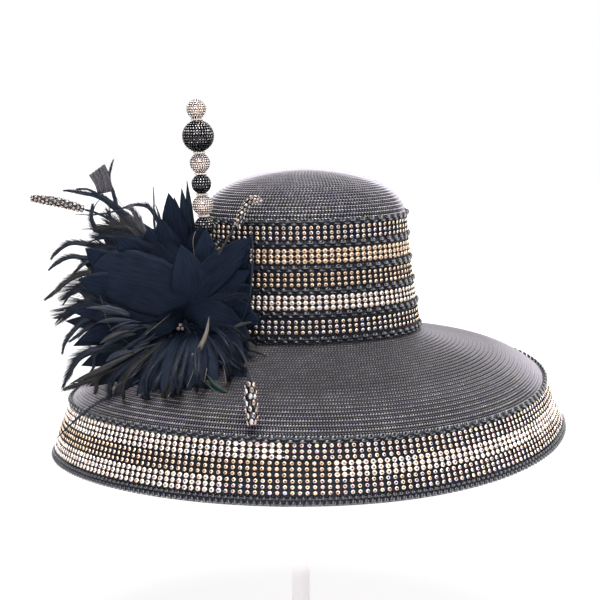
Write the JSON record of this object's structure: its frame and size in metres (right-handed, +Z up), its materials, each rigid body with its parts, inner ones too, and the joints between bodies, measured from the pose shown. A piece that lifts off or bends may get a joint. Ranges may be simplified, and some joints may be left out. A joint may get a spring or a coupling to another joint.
{
  "type": "church hat on a display stand",
  "caption": "Wide-brimmed black braid hat with rhinestone bands, rows of black beads, a beaded pin and a dark feather spray, held up on a clear post with a round base.",
  "frame": {"origin": "middle of the underside of the stand's base", "axes": "+Z up; X along the long way of the head opening, with the feather spray towards -X; -Y is the side that shows the spray's face"},
  "size_m": [0.466, 0.4616, 0.4946],
  "materials": {
    "straw_braid": "sewn shiny black braid",
    "jet_beads": "polished black beads",
    "close_stones": "clear cut stones set close in silver cups",
    "spaced_stones": "iridescent and champagne stones spaced on black mesh",
    "silver": "bright plated metal with small crystals",
    "black_wire": "thread-wrapped black wire",
    "feather": "matte blue-black feather",
    "clear_acrylic": "clear polished acrylic"
  },
  "bodies": {
    "root": {"crown": "straw_braid", "brim": "straw_braid", "crown_beads_1": "jet_beads", "crown_beads_2": "jet_beads", "crown_beads_3": "jet_beads", "crown_beads_4": "jet_beads", "crown_beads_5": "jet_beads", "crown_beads_6": "jet_beads", "brim_fold_beads": "jet_beads", "brim_edge_beads": "jet_beads", "crown_stones_1": "spaced_stones", "crown_stones_3": "spaced_stones", "crown_stones_5": "spaced_stones", "crown_stones_2": "close_stones", "crown_stones_4": "close_stones", "brim_stones_upper_bright": "close_stones", "brim_stones_upper_dark": "spaced_stones", "brim_stones_middle_bright": "close_stones", "brim_stones_middle_dark": "spaced_stones", "brim_stones_lower_bright": "close_stones", "brim_stones_lower_dark": "spaced_stones", "pin_rod": "silver", "pin_ball_1": "close_stones", "pin_ball_2": "jet_beads", "pin_ball_3": "close_stones", "pin_ball_4": "jet_beads", "pin_ball_5": "close_stones", "pin_ball_6": "jet_beads", "pin_ring_1": "silver", "pin_ring_2": "silver", "pin_ring_3": "silver", "pin_ring_4": "silver", "pin_ring_5": "silver", "spray_wire_left": "black_wire", "spray_wire_crown": "black_wire", "spray_wire_front": "black_wire", "spray_head_left": "close_stones", "spray_head_crown": "close_stones", "spray_head_front": "close_stones", "feather_stones": "close_stones", "feather_spray": "feather", "stand_base": "clear_acrylic", "stand_post": "clear_acrylic", "stand_cap": "clear_acrylic"}
  },
  "joints": []
}
